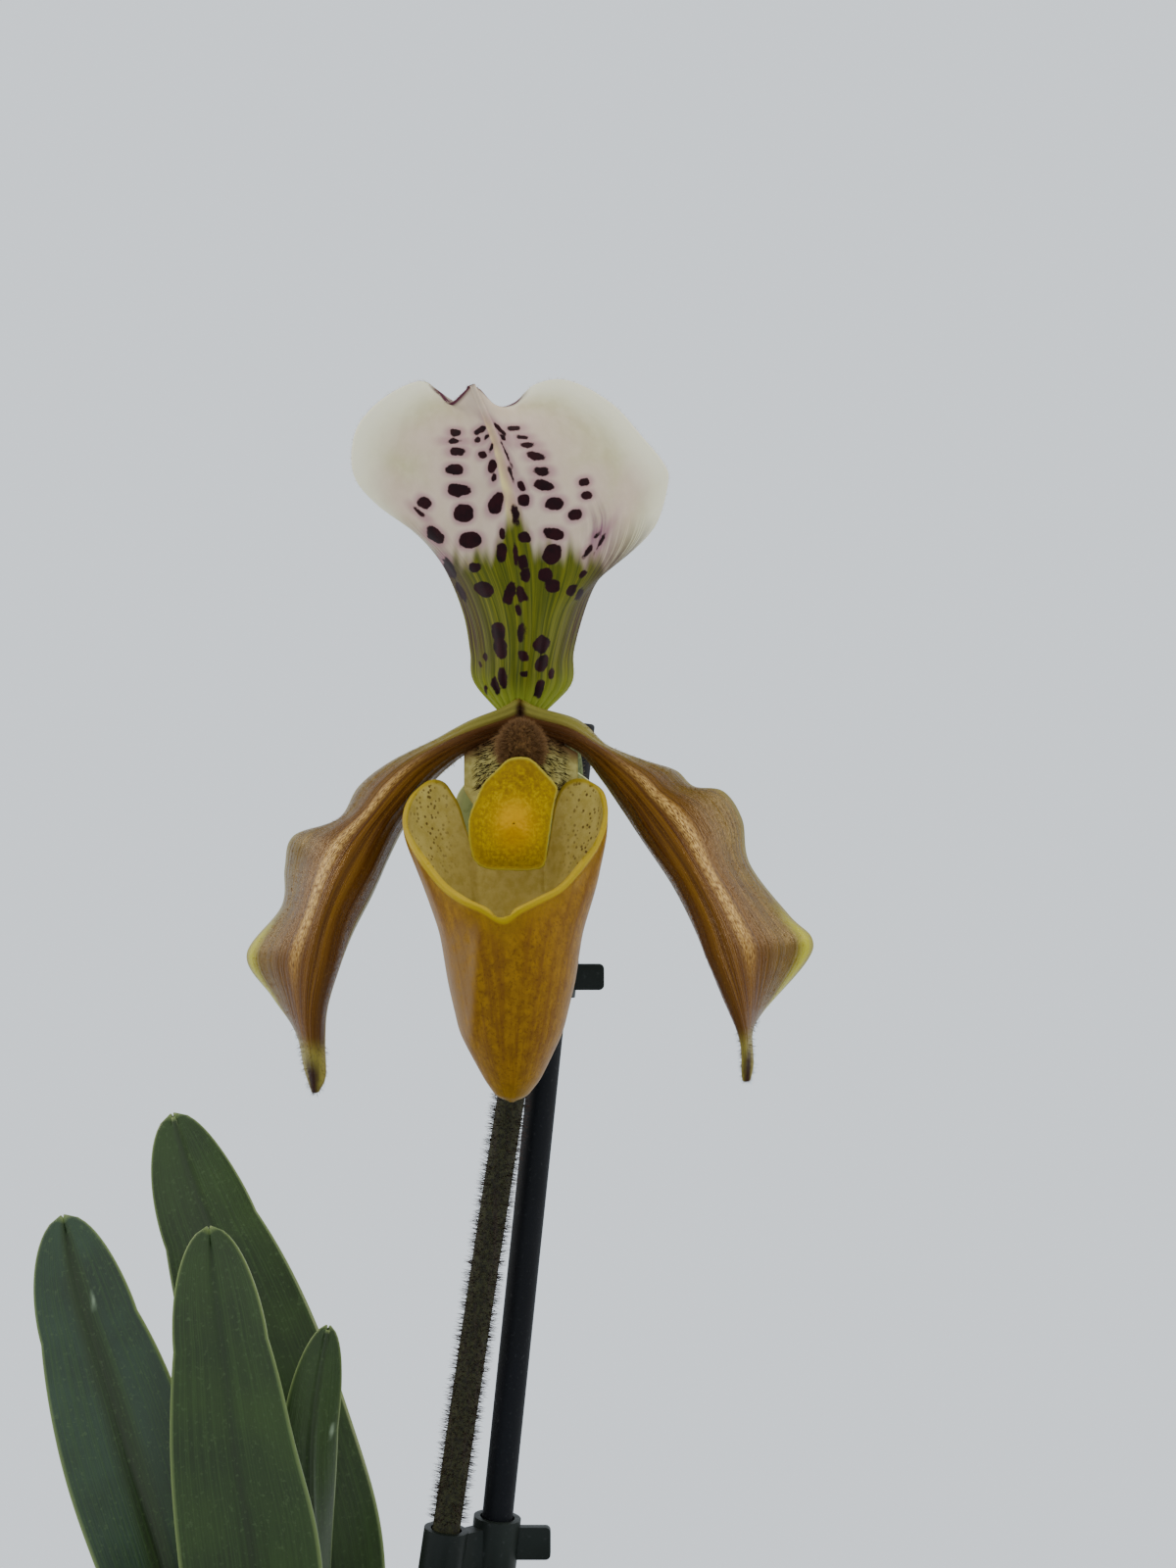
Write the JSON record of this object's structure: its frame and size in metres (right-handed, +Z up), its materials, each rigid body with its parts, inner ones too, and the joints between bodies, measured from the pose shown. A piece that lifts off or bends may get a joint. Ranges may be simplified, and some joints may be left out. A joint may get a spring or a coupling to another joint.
{
  "type": "potted slipper orchid",
  "caption": "Potted slipper orchid: a staked hairy stem with one flower, its pouch open at the top, over two growths of strap leaves in a pot of bark.",
  "frame": {"origin": "middle of the pot's underside", "axes": "+Z up, the flower faces -Y, +X to the right of someone who faces the flower"},
  "size_m": [0.217, 0.2414, 0.3481],
  "materials": {
    "pot_plastic": "plain moulded black plastic",
    "bark": "damp conifer bark chips",
    "crown_green": "soft plant tissue",
    "leaf_green": "smooth waxy leaf",
    "stem_green": "hairy dark green stem",
    "bract_green": "soft plant tissue",
    "ovary_green": "hairy grey-green",
    "dorsal_white": "white with maroon spots, green base",
    "petal_brown": "varnished brown-gold",
    "pouch_yellow": "varnished yellow-brown",
    "staminode_yellow": "glossy yellow",
    "column_brown": "brown hair over green",
    "synsepal_green": "pale green, soft",
    "stake_plastic": "black plastic",
    "clip_plastic": "dark green-grey plastic"
  },
  "bodies": {
    "root": {"pot": "pot_plastic", "bark_medium": "bark", "crown_flowering": "crown_green", "crown_young": "crown_green", "leaf_left": "leaf_green", "leaf_front": "leaf_green", "leaf_back": "leaf_green", "leaf_small": "leaf_green", "leaf_low_front_left": "leaf_green", "leaf_low_front": "leaf_green", "leaf_low_right": "leaf_green", "leaf_low_back": "leaf_green", "scape": "stem_green", "bract": "bract_green", "ovary": "ovary_green", "dorsal_sepal": "dorsal_white", "petal_left": "petal_brown", "petal_right": "petal_brown", "synsepal": "synsepal_green", "pouch": "pouch_yellow", "column": "column_brown", "staminode": "staminode_yellow", "stake": "stake_plastic", "clip_lower": "clip_plastic", "clip_upper": "clip_plastic"}
  },
  "joints": []
}
